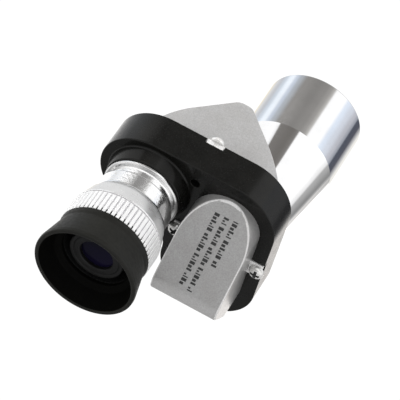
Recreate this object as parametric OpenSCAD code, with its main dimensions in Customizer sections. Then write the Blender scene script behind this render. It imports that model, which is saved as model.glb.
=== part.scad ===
// Corner Porro monocular: two right-angle prisms on the faces of one L-shaped plate,
// an objective barrel in front and a screw-focusing eyepiece behind.
// Row frame: origin at the centre of the objective's front rim, +Y out of the objective,
// +Z up, +X to the right for someone looking through the eyepiece.

/* [Optical layout] */
// Shift of the light path at each prism, along X and then along Z
axis_step = 20.8; // [19:0.1:22]
// Objective rim to the plate's eyepiece-side face
front_y = 62; // [58:0.5:66]

/* [Plate] */
// Thickness of the L-shaped plate
plate_t = 9.8; // [9.5:0.1:11]
// Radius of the plate's rounded ends, also half the width of its arms
plate_r = 12.3; // [12.2:0.1:12.8]
// Extra length of the eyepiece end beyond a centred half circle
plate_end_extra = 0.9; // [0:0.1:1]
// Extra width of the objective's arm, on the side of the eyepiece
plate_arm_extra = 0.8; // [0:0.1:1]

/* [Prism covers] */
// Length of a cover, end to end
cover_l = 37.8; // [37.6:0.1:38.4]
// Width of a cover
cover_w = 17.5; // [17.4:0.1:17.8]
// Height of a cover's ridge above the plate
cover_h = 18.2; // [18:0.1:18.6]
// Upright lip at a cover's rounded ends
cover_lip = 1; // [0.8:0.1:1.2]
// Wall of a cover
cover_wall = 1.1; // [1:0.05:1.15]
// Radius that rounds the two edges of a cover's ridge
ridge_fillet = 3; // [2:0.25:3]

/* [Objective] */
// Outside radius of the cylindrical front of the barrel
barrel_r = 13; // [12.8:0.1:13.5]
// Length of the cylindrical front
barrel_l = 19; // [17:0.5:20]
// Outside radius of the barrel's neck at the plate
neck_r = 8; // [8:0.1:8.4]
// Radius of the objective lenses
objective_r = 10.95; // [10.9:0.01:10.98]

/* [Eyepiece] */
// Outside radius of the knurled grip
knurl_r = 11.8; // [11.6:0.1:12]
// Number of ribs round the grip
knurl_ribs = 62; // [48:2:80]
// Outside radius of the thread sleeve that the focus ring turns on
sleeve_r = 8.7; // [8.6:0.05:8.8]
// Radial running clearance between parts that turn or slide
run_gap = 0.05; // [0.02:0.01:0.08]
// Outside radius of the eyecup's lip
lip_r = 13; // [12.4:0.1:13.2]

/* [Hidden] */
$fn = 96;

// Small shared values
eps = 0.01;              // overcut that keeps faces from coinciding
fit_gap = 0.02;          // radial gap of parts that are screwed or pressed together
axis_mid = axis_step / 2;

// Plate
arm_edge_x = axis_step - plate_r - plate_arm_extra; // inner edge of the objective's arm
inner_corner_r = arm_edge_x - 0.1; // fillet in the L's inner corner
seat_depth = 0.4;        // how far each prism sits into the plate
middle_hole_r = 6.9;     // light hole between the prisms
objective_hole_r = 6.6;  // light hole behind the objective
eyepiece_hole_r = 6.3;   // light hole in front of the eyepiece
boss_h = 3.9;            // raised boss round the eyepiece
boss_base_r = 10.8;
boss_top_r = 9.9;
sleeve_socket = 2.4;     // depth of the sleeve's socket below the plate's face
socket_r = sleeve_r - 0.3;
spigot_l = 3;            // length of the barrel's spigot in the plate
spigot_r = 7.5;
lock_hole_r = 1.3;       // blind hole beside the boss
lock_hole_depth = 3;
lock_hole_pos = [10.7, 7.2];

// Screws and the ears that they hold
screw_off = 11;          // screw axis from the cover's long axis
head_r = 1.9;
head_h = 1.6;
shank_r = 0.95;
shank_l = 3.8;
ear_w = 4.5;             // width of an ear along the cover
ear_sink = 1.2;          // how far an ear lies in the plate
ear_proud = 0.35;        // how far it stands out of the plate
ear_tip = 12;            // ear tip from the cover's long axis
ear_root = 0.4;          // how far an ear reaches into the cover's wall
notch_gap = 0.1;         // gap round an ear in its notch
recess_arm_l = 2.6;      // length of the cross recess in a screw
recess_arm_w = 0.7;
recess_depth = 0.9;

// Prisms
prism_w = 14.4;
prism_l = 35;
prism_flat = 1.6;        // half the width of the flat along the prism's ridge
clip_t = 0.25;
clip_w = 3;
clip_foot = 1;           // depth of a clip's feet in the plate
clip_slot_w = 0.4;       // slot in the plate for a clip's foot
prism_h = prism_l / 2 - prism_flat;

// Objective barrel and what it holds
lens_seat_y = 54;        // rear rim of the flint lens
bore_r = objective_r + fit_gap;
barrel_inner_r = 10;     // behind the lens bore
front_recess = 1.4;      // rim to the retaining ring
front_recess_r = 11.5;
step_y = front_y - barrel_l;
step_chamfer = 0.2;      // between the cone and the cylinder
baffle_l = 4;
baffle_t = 0.6;
baffle_r = 9.2;
seat_r = 10;             // inner radius of the rings that hold the lenses
slot_w = 1.2;            // driver slots in the retaining ring
slot_depth = 0.6;
crown_front_curve = 70;  // radii of curvature of the lens faces
crown_rear_curve = 52;
flint_rear_curve = 180;
flint_mid_t = 2;         // lens thicknesses on the axis
crown_mid_t = 4.4;

// Eyepiece, distances behind the plate's face
ring_front = 7.2;        // front edge of the focus ring at rest
sleeve_end = 15.5;
knurl_front = 17.2;
knurl_back = 23.3;
ring_back = 26.5;
ring_body_l = 4.6;       // bright cylinder in front of the skirt
skirt_start = 5.5;       // ring's front edge to the start of the skirt
ring_body_r = 9.6;
skirt_r = 10.3;
grip_r = 10.2;           // spigot under the eyecup
bead_h = 0.3;            // bead that keeps the eyecup on
rib_depth = 0.35;
flange_r = 9.7;          // sleeve's visible flange
flange_l = 1.1;
shoulder_back = 18.6;
flange_t = 1.2;          // lens tube's flange, held between shoulder and collar
tube_r = 7;
tube_front = 4;
tube_back = 27;
tube_bore_r = 5.9;
lens_r = 5.85;
lens_stop_r = 5.3;       // rib that the field lens rests on, also the spacer's bore
lens_stop_front = 9.5;
lens_stop_back = 10.5;
stop_r = 3.8;            // field stop
stop_front = 6;
stop_back = 7.2;
field_lens_curve = 12;
field_lens_y = lens_stop_back;
field_lens_t = 2.7;
eye_front_curve = 14;
eye_cement_curve = 12;
eye_crown_t = 3.4;
eye_flint_t = 1.2;
eye_rear_y = 26;
eye_opening_r = 4.3;
cup_back = 33;
cup_r = 11.5;            // cup behind the grip
cup_waist = 25.1;        // where the cup starts to flare
cup_throat_r = 8.7;
key_w = 1.3;             // width of the sleeve's keyway
key_depth = 0.9;
pin_r = 0.6;
pin_y = 8;
pin_foot = 6;            // inner end of the pin from the axis

// Depth of a spherical face of curvature radius c at height r.
function sag(r, c) = c - sqrt(c * c - r * r);

// Places child shapes from plate coordinates (origin on the eyepiece axis, at the plate's
// eyepiece-side face) into the row frame.
module in_row() {
    translate([-axis_step, -front_y, axis_step]) children();
}

// Extrudes an (x, z) outline along Y, from y0 to y1.
module slab(y0, y1) {
    translate([0, y1, 0]) rotate([90, 0, 0]) linear_extrude(y1 - y0) children();
}

// Turns a profile of [radius, y] points about the Y axis.
module turned(profile) {
    rotate([-90, 0, 0]) rotate_extrude() polygon(profile);
}

// A plain round rod along Y.
module rod(r, y0, y1) {
    translate([0, y0, 0]) rotate([-90, 0, 0]) cylinder(r = r, h = y1 - y0);
}

// A ring along Y.
module ring(r_out, r_in, y0, y1) {
    difference() {
        rod(r_out, y0, y1);
        rod(r_in, y0 - eps, y1 + eps);
    }
}

// Moves child shapes onto the objective's axis.
module on_objective_axis() {
    translate([axis_step, 0, -axis_step]) children();
}

// A 2-D outline with round ends and a length along its first axis.
module stadium(length, width) {
    square([length - width, width], center = true);
    for (side = [-1, 1]) translate([side * (length - width) / 2, 0]) circle(d = width);
}

// Covers, prisms and clips are drawn once, lying on the XY plane with their length along X and
// their height along Z. These two modules put them on the plate's two faces.
module on_objective_side() {
    translate([axis_mid, plate_t, 0]) rotate([-90, 0, 0]) children();
}

module on_eyepiece_side() {
    translate([axis_step, 0, -axis_mid]) rotate([90, 0, 0]) rotate([0, 0, 90]) children();
}

// L-shaped outline of the plate in (x, z).
module plate_outline() {
    arm = 2 * plate_r;
    difference() {
        union() {
            translate([-plate_end_extra, -plate_r]) square([axis_step + plate_end_extra, arm]);
            translate([arm_edge_x, -axis_step]) square([arm + plate_arm_extra, axis_step]);
            translate([axis_step - plate_arm_extra, -axis_step - plate_r]) square([plate_arm_extra, plate_r]);
            translate([-plate_end_extra, 0]) circle(plate_r);
            translate([axis_step, 0]) circle(plate_r);
            for (x = [axis_step - plate_arm_extra, axis_step]) translate([x, -axis_step]) circle(plate_r);
            translate([arm_edge_x - inner_corner_r, -plate_r - inner_corner_r]) square(inner_corner_r + eps);
        }
        translate([arm_edge_x - inner_corner_r, -plate_r - inner_corner_r]) circle(inner_corner_r);
    }
}

// Cuts that one cover needs in the plate, in the cover's own coordinates.
module cover_cuts() {
    translate([0, 0, -seat_depth]) linear_extrude(seat_depth + eps)
        stadium(prism_l + notch_gap, prism_w + notch_gap);
    notch_in = cover_w / 2 - ear_root - notch_gap;
    notch_out = plate_r + 2;
    for (side = [-1, 1]) {
        translate([-ear_w / 2 - notch_gap, side > 0 ? notch_in : -notch_out, -ear_sink - notch_gap])
            cube([ear_w + 2 * notch_gap, notch_out - notch_in, ear_sink + notch_gap + eps]);
        translate([0, side * screw_off, -shank_l - 0.3])
            cylinder(r = shank_r + fit_gap, h = shank_l + 0.3);
        translate([-clip_w / 2, side * (prism_w / 2 + clip_t / 2), 0])
            translate([-notch_gap / 2, -clip_slot_w / 2, -clip_foot - notch_gap])
                cube([clip_w + notch_gap, clip_slot_w, clip_foot + 2 * notch_gap]);
    }
}

module prism_plate() {
    color("#1c1c1e") in_row() difference() {
        union() {
            slab(0, plate_t) plate_outline();
            turned([[0, -boss_h], [boss_top_r, -boss_h], [boss_base_r, 0], [boss_base_r, 1], [0, 1]]);
        }
        rod(eyepiece_hole_r, -boss_h - 1, plate_t + 1);
        rod(socket_r + fit_gap, -boss_h - 1, sleeve_socket);
        translate([axis_step, 0, 0]) rod(middle_hole_r, -1, plate_t + 1);
        on_objective_axis() rod(objective_hole_r, -1, plate_t + 1);
        on_objective_axis() rod(spigot_r + fit_gap, plate_t - spigot_l, plate_t + 1);
        translate([lock_hole_pos[0], 0, lock_hole_pos[1]]) rod(lock_hole_r, -1, lock_hole_depth);
        on_objective_side() cover_cuts();
        on_eyepiece_side() cover_cuts();
    }
}

// Side view of a roof with 45 degree slopes and a rounded, flattened ridge: half_l from centre to
// end, height up to the flat, lip at the ends and the largest fillet wanted at the ridge's edges.
module roof_profile(half_l, height, lip, largest_fillet) {
    flat = half_l - (height - lip);
    fillet = min(largest_fillet, 0.98 * flat / tan(22.5));
    run = fillet * tan(22.5);
    polygon([
        [-half_l, 0],
        [half_l, 0],
        [half_l, lip],
        [flat + run * cos(45), height - run * sin(45)],
        [flat - run, height],
        [-flat + run, height],
        [-flat - run * cos(45), height - run * sin(45)],
        [-half_l, lip]
    ]);
    for (side = [-1, 1]) translate([side * (flat - run), height - fillet]) circle(fillet);
}

// A roof-shaped block with rounded ends.
module roof_block(length, width, height, lip, fillet) {
    intersection() {
        translate([0, width / 2, 0]) rotate([90, 0, 0]) linear_extrude(width)
            roof_profile(length / 2, height, lip, fillet);
        linear_extrude(height + 1) stadium(length, width);
    }
}

module prism_cover() {
    inner_l = cover_l - 2 * cover_wall;
    inner_w = cover_w - 2 * cover_wall;
    // The sloping walls keep the same thickness as the upright ones.
    slope_drop = cover_wall * sqrt(2) - cover_wall;
    ear_in = cover_w / 2 - ear_root;
    difference() {
        union() {
            roof_block(cover_l, cover_w, cover_h, cover_lip, ridge_fillet);
            for (side = [-1, 1]) translate([-ear_w / 2, side > 0 ? ear_in : -ear_tip, -ear_sink])
                cube([ear_w, ear_tip - ear_in, ear_sink + ear_proud]);
            for (side = [-1, 1]) translate([-ear_w / 2, side > 0 ? ear_in : -cover_w / 2, -ear_sink])
                cube([ear_w, ear_root, ear_sink + 1]);
        }
        translate([0, 0, -eps])
            roof_block(inner_l, inner_w, cover_h - cover_wall, cover_lip - slope_drop,
                ridge_fillet - cover_wall);
        for (side = [-1, 1]) translate([0, side * screw_off, -ear_sink - 1])
            cylinder(r = shank_r + 0.1, h = ear_sink + 2);
    }
}

module objective_side_cover() {
    color("#b4b4b6") in_row() on_objective_side() prism_cover();
}

module eyepiece_side_cover() {
    color("#9c9a9a") in_row() on_eyepiece_side() prism_cover();
}

// Pan-head screw with a cross recess, head up, with the underside of the head at z = 0.
module pan_screw() {
    dome_r = 2.6;
    difference() {
        intersection() {
            cylinder(r = head_r, h = head_h);
            translate([0, 0, head_h - dome_r]) sphere(dome_r);
        }
        for (turn = [0, 90]) rotate([0, 0, turn])
            translate([-recess_arm_l / 2, -recess_arm_w / 2, head_h - recess_depth])
                cube([recess_arm_l, recess_arm_w, 1]);
        translate([0, 0, head_h - recess_depth - 0.1]) cylinder(r = 0.9 * recess_arm_w, h = 1);
    }
    translate([0, 0, -shank_l]) cylinder(r = shank_r, h = shank_l);
}

module cover_screw_pair() {
    for (side = [-1, 1]) translate([0, side * screw_off, ear_proud])
        rotate([0, 0, 32 + 32 * side]) pan_screw();
}

module cover_screws() {
    color("#d8d8d4") in_row() {
        on_objective_side() cover_screw_pair();
        on_eyepiece_side() cover_screw_pair();
    }
}

module porro_prism() {
    translate([0, 0, -seat_depth]) intersection() {
        translate([0, prism_w / 2, 0]) rotate([90, 0, 0]) linear_extrude(prism_w) polygon([
            [-prism_l / 2, 0],
            [prism_l / 2, 0],
            [prism_flat, prism_h],
            [-prism_flat, prism_h]
        ]);
        linear_extrude(prism_h) stadium(prism_l, prism_w);
    }
}

module objective_side_prism() {
    color("#cfe6ee", 0.5) in_row() on_objective_side() porro_prism();
}

module eyepiece_side_prism() {
    color("#cfe6ee", 0.5) in_row() on_eyepiece_side() porro_prism();
}

// Spring strap over the prism's ridge, with both feet in slots of the plate.
module prism_clip() {
    inside = prism_w / 2 + fit_gap;
    top = prism_h - seat_depth + fit_gap;
    difference() {
        translate([-clip_w / 2, -inside - clip_t, -clip_foot])
            cube([clip_w, 2 * (inside + clip_t), top + clip_t + clip_foot]);
        translate([-clip_w, -inside, -clip_foot - 1]) cube([2 * clip_w, 2 * inside, top + clip_foot + 1]);
    }
}

module objective_side_clip() {
    color("#c2a25a") in_row() on_objective_side() prism_clip();
}

module eyepiece_side_clip() {
    color("#c2a25a") in_row() on_eyepiece_side() prism_clip();
}

module objective_barrel() {
    color("#d9dade") in_row() on_objective_axis() turned([
        [objective_hole_r, plate_t - spigot_l + 0.1],
        [spigot_r, plate_t - spigot_l + 0.1],
        [spigot_r, plate_t],
        [neck_r, plate_t],
        [barrel_r - step_chamfer, step_y],
        [barrel_r, step_y + step_chamfer],
        [barrel_r, front_y],
        [front_recess_r, front_y],
        [front_recess_r, front_y - front_recess],
        [bore_r, front_y - front_recess],
        [bore_r, lens_seat_y - baffle_l],
        [barrel_inner_r, lens_seat_y - baffle_l],
        [barrel_inner_r, step_y],
        [objective_hole_r, plate_t + 4]
    ]);
}

// Upright half of a lens section, for revolving: radius, faces at the axis y0 (eyepiece side)
// and y1 (objective side), and each face's radius of curvature, positive where it bulges.
module lens_half(r, y0, y1, rear, front) {
    big = 100;
    intersection() {
        translate([0, y0 - big]) square([r, y1 - y0 + 2 * big]);
        if (rear > 0) translate([0, y0 + rear]) circle(rear, $fn = 256);
        if (rear <= 0) translate([0, y0]) square([r + 1, big]);
        translate([0, y1 - front]) circle(front, $fn = 256);
    }
}

cement_y = lens_seat_y - sag(objective_r, flint_rear_curve) + flint_mid_t;

module objective_crown_lens() {
    color("#a9d6c9", 0.5) in_row() on_objective_axis() rotate([-90, 0, 0]) rotate_extrude(convexity = 4)
        lens_half(objective_r, cement_y, cement_y + crown_mid_t, crown_rear_curve, crown_front_curve);
}

module objective_flint_lens() {
    rear_y = cement_y - flint_mid_t;
    color("#bcd0dd", 0.5) in_row() on_objective_axis() rotate([-90, 0, 0]) rotate_extrude(convexity = 4)
        difference() {
            intersection() {
                translate([0, rear_y - 1]) square([objective_r, 8]);
                translate([0, rear_y + flint_rear_curve]) circle(flint_rear_curve, $fn = 256);
                translate([0, 0]) square([objective_r, cement_y + sag(objective_r, crown_rear_curve)]);
            }
            translate([0, cement_y + crown_rear_curve]) circle(crown_rear_curve, $fn = 256);
        }
}

module objective_baffle() {
    back = lens_seat_y - baffle_l;
    // The flint lens bulges to the rear, so its seat lies behind its rim.
    front = lens_seat_y - sag(objective_r, flint_rear_curve) + sag(seat_r, flint_rear_curve) - fit_gap;
    color("#151515") in_row() on_objective_axis() turned([
        [baffle_r, back],
        [objective_r, back],
        [objective_r, front],
        [seat_r, front],
        [seat_r, back + baffle_t],
        [baffle_r, back + baffle_t]
    ]);
}

// Front face of the crown lens at the retaining ring's inner edge, where the ring bears.
ring_seat_y = cement_y + crown_mid_t - sag(seat_r, crown_front_curve);

module objective_retaining_ring() {
    front = front_y - front_recess;
    color("#202022") in_row() on_objective_axis() difference() {
        turned([
            [seat_r, ring_seat_y + fit_gap],
            [objective_r, ring_seat_y + fit_gap],
            [objective_r, front],
            [seat_r + 0.4, front],
            [seat_r, front - 0.4]
        ]);
        for (side = [-1, 1]) translate([side * objective_r - 1.2, front - slot_depth, -slot_w / 2])
            cube([2.4, 1, slot_w]);
    }
}

// Fixed sleeve: screws into the plate's boss, carries the visible flange and the focus thread.
module thread_sleeve() {
    color("#cfd0d4") in_row() difference() {
        turned([
            [tube_r + run_gap, sleeve_socket - 0.1],
            [socket_r, sleeve_socket - 0.1],
            [socket_r, -boss_h],
            [flange_r - 0.3, -boss_h],
            [flange_r, -boss_h - 0.3],
            [flange_r, -boss_h - flange_l + 0.3],
            [flange_r - 0.3, -boss_h - flange_l],
            [sleeve_r, -boss_h - flange_l],
            [sleeve_r, -sleeve_end + 0.3],
            [sleeve_r - 0.3, -sleeve_end],
            [tube_r + run_gap, -sleeve_end]
        ]);
        translate([-key_w / 2, -sleeve_end - 1, 0])
            cube([key_w, sleeve_end - boss_h + 0.5, tube_r + run_gap + key_depth]);
    }
}

// Lens tube: slides in the sleeve without turning, and is carried along by the focus ring.
module lens_tube() {
    collar_r = sleeve_r - 0.4;
    color("#2a2a2c") in_row() difference() {
        turned([
            [lens_stop_r, -lens_stop_front],
            [tube_bore_r, -lens_stop_front],
            [tube_bore_r, -tube_front],
            [tube_r, -tube_front],
            [tube_r, -shoulder_back - run_gap],
            [collar_r, -shoulder_back - run_gap],
            [collar_r, -shoulder_back - flange_t],
            [tube_r, -shoulder_back - flange_t],
            [tube_r, -tube_back + 0.3],
            [tube_r - 0.3, -tube_back],
            [tube_bore_r, -tube_back],
            [tube_bore_r, -lens_stop_back],
            [lens_stop_r, -lens_stop_back]
        ]);
        translate([0, -pin_y, 0]) cylinder(r = pin_r, h = tube_r + 1);
    }
}

module guide_pin() {
    color("#b9bbc0") in_row() translate([0, -pin_y, pin_foot])
        cylinder(r = pin_r, h = tube_r + key_depth - 0.1 - pin_foot);
}

module field_stop() {
    color("#151515") in_row() turned([
        [stop_r, -stop_front],
        [tube_bore_r - fit_gap, -stop_front],
        [tube_bore_r - fit_gap, -stop_back],
        [stop_r + 0.4, -stop_back],
        [stop_r, -stop_front - 0.4]
    ]);
}

module field_lens() {
    color("#a9d6c9", 0.5) in_row() mirror([0, 1, 0]) rotate([-90, 0, 0]) rotate_extrude(convexity = 4)
        lens_half(lens_r, field_lens_y, field_lens_y + field_lens_t, 0, field_lens_curve);
}

eye_cement_y = eye_rear_y - eye_flint_t;

module lens_spacer() {
    front = field_lens_y + field_lens_t - sag(lens_stop_r, field_lens_curve) + fit_gap;
    back = eye_cement_y - eye_crown_t + sag(lens_stop_r, eye_front_curve) - fit_gap;
    color("#1a1a1a") in_row() ring(lens_r, lens_stop_r, -back, -front);
}

module eye_crown_lens() {
    color("#a9d6c9", 0.5) in_row() mirror([0, 1, 0]) rotate([-90, 0, 0]) rotate_extrude(convexity = 4)
        lens_half(lens_r, eye_cement_y - eye_crown_t, eye_cement_y, eye_front_curve, eye_cement_curve);
}

module eye_flint_lens() {
    color("#8f93c4", 0.5) in_row() mirror([0, 1, 0]) rotate([-90, 0, 0]) rotate_extrude(convexity = 4)
        difference() {
            translate([0, eye_cement_y - sag(lens_r, eye_cement_curve)])
                square([lens_r, eye_flint_t + sag(lens_r, eye_cement_curve)]);
            translate([0, eye_cement_y - eye_cement_curve]) circle(eye_cement_curve, $fn = 256);
        }
}

module eye_retaining_ring() {
    color("#18181a") in_row() turned([
        [tube_bore_r - fit_gap, -eye_rear_y - fit_gap],
        [tube_bore_r - fit_gap, -tube_back],
        [eye_opening_r + 0.15, -tube_back],
        [eye_opening_r, -tube_back + 0.15],
        [eye_opening_r, -eye_rear_y - fit_gap]
    ]);
}

// Outline of the ribbed grip, in (x, z): one flat-topped rib and one groove per step.
module knurl_outline() {
    step = 360 / knurl_ribs;
    polygon([
        for (i = [0 : knurl_ribs - 1])
            for (corner = [[-0.3, 0], [0.3, 0], [0.45, rib_depth], [0.55, rib_depth]])
                (knurl_r - corner[1]) * [cos((i + corner[0]) * step), sin((i + corner[0]) * step)]
    ]);
}

// Focus ring: turns on the sleeve's thread and carries the eyecup.
module focus_ring() {
    edge_r = knurl_r - 0.2;
    run_r = sleeve_r + run_gap;
    color("#e2e2e6") in_row() difference() {
        union() {
            turned([
                [0, -ring_front],
                [ring_body_r - 0.4, -ring_front],
                [ring_body_r, -ring_front - 0.4],
                [ring_body_r, -ring_front - ring_body_l],
                [skirt_r, -ring_front - skirt_start],
                [edge_r - 0.1, -knurl_front + 0.6],
                [edge_r, -knurl_front + 0.3],
                [edge_r, -knurl_front],
                [knurl_r - 2 * rib_depth, -knurl_front],
                [knurl_r - 2 * rib_depth, -knurl_back],
                [grip_r, -knurl_back],
                [grip_r, -ring_back + 1.4],
                [grip_r + bead_h, -ring_back + 1],
                [grip_r + bead_h, -ring_back + 0.4],
                [grip_r - 0.2, -ring_back],
                [0, -ring_back]
            ]);
            slab(-knurl_back, -knurl_front) knurl_outline();
        }
        rod(run_r, -shoulder_back + 0.6, 0);
        rod(tube_r + 0.2, -ring_back - 1, 0);
        rod(run_r, -ring_back - 1, -shoulder_back);
    }
}

module thrust_collar() {
    front = shoulder_back + flange_t + run_gap;
    color("#3a3a3c") in_row() difference() {
        ring(sleeve_r, tube_r + 0.15, -front - 2.4, -front);
        for (side = [-1, 1]) translate([side * 8 - 0.8, -front - 3, -0.5]) cube([1.6, 1.6, 1]);
    }
}

// Soft eyecup, stretched over the rear of the focus ring.
module rubber_eyecup() {
    color("#262626") in_row() difference() {
        turned([
            [cup_throat_r, -ring_back - fit_gap],
            [cup_throat_r, -ring_back - 1],
            [cup_throat_r + 1.5, -ring_back - 1.6],
            [lip_r - 1.2, -cup_back + 0.6],
            [lip_r - 0.9, -cup_back + 0.1],
            [lip_r - 0.5, -cup_back],
            [lip_r - 0.1, -cup_back + 0.3],
            [lip_r, -cup_back + 1],
            [cup_r + 0.1, -cup_waist - 0.5],
            [cup_r - 0.05, -cup_waist],
            [cup_r, -cup_waist + 0.5],
            [cup_r, -knurl_back - 0.3],
            [cup_r - 0.3, -knurl_back - fit_gap],
            [grip_r + fit_gap, -knurl_back - fit_gap],
            [grip_r + fit_gap, -ring_back - fit_gap]
        ]);
        ring(grip_r + bead_h + 0.05, grip_r - 0.1, -ring_back - fit_gap, -ring_back + 1.45);
    }
}

prism_plate();
objective_side_cover();
eyepiece_side_cover();
cover_screws();
objective_side_prism();
eyepiece_side_prism();
objective_side_clip();
eyepiece_side_clip();
objective_barrel();
objective_crown_lens();
objective_flint_lens();
objective_baffle();
objective_retaining_ring();
thread_sleeve();
lens_tube();
guide_pin();
field_stop();
field_lens();
lens_spacer();
eye_crown_lens();
eye_flint_lens();
eye_retaining_ring();
focus_ring();
thrust_collar();
rubber_eyecup();
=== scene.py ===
import math

import bmesh
import bpy
from mathutils import Matrix, Vector


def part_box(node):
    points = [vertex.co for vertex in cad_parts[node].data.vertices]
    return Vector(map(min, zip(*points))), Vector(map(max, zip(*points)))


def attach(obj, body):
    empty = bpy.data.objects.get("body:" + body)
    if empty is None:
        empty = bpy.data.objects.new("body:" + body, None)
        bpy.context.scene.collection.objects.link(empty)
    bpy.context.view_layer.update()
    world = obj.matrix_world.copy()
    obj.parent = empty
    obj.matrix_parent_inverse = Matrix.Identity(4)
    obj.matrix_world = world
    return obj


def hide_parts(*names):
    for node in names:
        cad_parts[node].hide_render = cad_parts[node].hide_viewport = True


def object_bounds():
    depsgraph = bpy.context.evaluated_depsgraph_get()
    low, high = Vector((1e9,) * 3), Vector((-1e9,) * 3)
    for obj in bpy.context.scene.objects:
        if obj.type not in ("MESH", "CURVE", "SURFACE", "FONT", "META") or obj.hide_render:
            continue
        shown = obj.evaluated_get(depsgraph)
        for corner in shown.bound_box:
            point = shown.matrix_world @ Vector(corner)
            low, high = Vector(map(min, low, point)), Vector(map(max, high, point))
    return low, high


# Corner prism monocular: its visible pieces, materials, stage and camera
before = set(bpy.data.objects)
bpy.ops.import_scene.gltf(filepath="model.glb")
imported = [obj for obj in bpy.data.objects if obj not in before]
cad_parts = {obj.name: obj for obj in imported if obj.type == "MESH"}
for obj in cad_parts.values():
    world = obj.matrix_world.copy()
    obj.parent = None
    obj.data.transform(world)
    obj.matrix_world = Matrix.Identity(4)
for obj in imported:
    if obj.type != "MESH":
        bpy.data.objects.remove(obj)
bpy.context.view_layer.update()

# ---------------------------------------------------------------------------------------------
# Places. Shapes are written in plate coordinates, in millimetres: the origin is on the eyepiece
# axis at the plate's eyepiece-side face, +Y towards the objective. TO_ROW carries them into the
# row frame in metres.
# ---------------------------------------------------------------------------------------------
MM = 0.001
EAR_T = 1.2  # the covers' ears, and so their boxes, reach this far into the plate

ring_lo, ring_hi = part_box("focus_ring")
barrel_lo, barrel_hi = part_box("objective_barrel")
near_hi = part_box("eyepiece_side_cover")[1]
far_lo, far_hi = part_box("objective_side_cover")
cup_lo, cup_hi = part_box("rubber_eyecup")

ORIGIN = Vector(((ring_lo.x + ring_hi.x) / 2, near_hi.y - EAR_T * MM, (ring_lo.z + ring_hi.z) / 2))
TO_ROW = Matrix.Translation(ORIGIN) @ Matrix.Scale(MM, 4)

STEP = ((barrel_lo.x + barrel_hi.x) / 2 - ORIGIN.x) / MM  # shift between the two optical axes
PLATE_T = (far_lo.y - ORIGIN.y) / MM + EAR_T
FRONT_Y = (barrel_hi.y - ORIGIN.y) / MM
BARREL_R = (barrel_hi.x - barrel_lo.x) / 2 / MM
KNURL_R = (ring_hi.x - ring_lo.x) / 2 / MM
RING_FRONT = (ring_hi.y - ORIGIN.y) / MM
RING_BACK = (ring_lo.y - ORIGIN.y) / MM
CUP_BACK = (cup_lo.y - ORIGIN.y) / MM
LIP_R = (cup_hi.x - cup_lo.x) / 2 / MM
COVER_L = (far_hi.x - far_lo.x) / MM
COVER_H = (far_hi.y - far_lo.y) / MM - EAR_T
EAR_TIP = (far_hi.z - far_lo.z) / 2 / MM

PLATE_R = 12.3  # the plate's round ends
END_EXTRA = 0.9  # the eyepiece end is longer by this much
ARM_EXTRA = 0.8  # and the objective's arm is wider by this much
ARM_EDGE = STEP - PLATE_R - ARM_EXTRA
CORNER_R = ARM_EDGE - 0.1  # inner corner of the L

COVER_W = 17.5
COVER_WALL = 1.1
COVER_LIP = 1.0  # height of the wall at the covers' tips
COVER_EDGE = 0.4  # rounding between wall and roof
RIDGE_R = 3.0
SEAT_L = 35.1  # the covers' sunken seats in the plate
SEAT_W = 14.5
EAR_W = 4.5
EAR_PROUD = 0.35  # the ears stand this far out of the plate

SCREW_OFF = 11.0  # screw axis from the cover's middle line
SCREW_HOLE_R = 1.05
SHANK_R = 0.95
SHANK_END = -3.8
HEAD_R = 1.93
HEAD_H = 1.66

SPIGOT_R = 7.5  # the barrel's thread in the plate
CONE_R = 8.0  # thin end of the cone
CYLINDER_Y = 43.0  # where the cone meets the cylinder
FRONT_BORE = 11.5
FRONT_DEPTH = 1.4
LENS_BORE = 10.97
LENS_SEAT_Y = 50.0
BAFFLE_BORE = 10.0
LIGHT_BORE = 6.6

BOSS_H = 3.9
SOCKET_R = 8.4
SLEEVE_R = 8.7
SLEEVE_BORE = 7.05
SLEEVE_END = -15.5
FLANGE_R = 9.72

TUBE_R = 7.0
TUBE_FLANGE_R = 8.3
TUBE_BORE = 5.9
STOP_BORE = 5.3
EYE_BORE = 4.25
TUBE_BACK = -27.0

RUN_R = 8.75  # bore of the focus ring, which runs on the sleeve
RING_BODY_R = 9.6
SKIRT_R = 11.62
SKIRT_START = 4.5  # from the ring's front edge
CUP_SEAT_R = 10.2
KNURL_FRONT = -17.2
KNURL_BACK = -23.3
KNURL_LEVELS = 8
RIBS = 62
GROOVE = 0.36
TEETH = 1.05  # the eyecup's front edge reaches this far into the grooves
# One rib and groove: places along it, and how deep the groove is there
TOOTH = ((0.0, 0.0), (0.15, 0.0), (0.3, 0.0), (0.36, 0.3), (0.45, 0.95), (0.5, 1.0), (0.55, 0.95),
         (0.64, 0.3), (0.7, 0.0), (0.85, 0.0))


# ---------------------------------------------------------------------------------------------
# Mesh helpers
# ---------------------------------------------------------------------------------------------
def finish_mesh(bm, name, materials, body, replaced=(), sharp=32, even=True):
    """Turns a bmesh in plate millimetres into a piece that rides on a body."""
    bm.transform(TO_ROW)
    mesh = bpy.data.meshes.new(name)
    bm.to_mesh(mesh)
    bm.free()
    for material in materials:
        mesh.materials.append(material)
    mesh.shade_smooth()
    mesh.set_sharp_from_angle(angle=math.radians(sharp))
    piece = bpy.data.objects.new(name, mesh)
    bpy.context.scene.collection.objects.link(piece)
    if even:
        weighting = piece.modifiers.new("even_normals", "WEIGHTED_NORMAL")
        weighting.keep_sharp = True
    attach(piece, body)
    if replaced:
        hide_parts(*replaced)
    return piece


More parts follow.
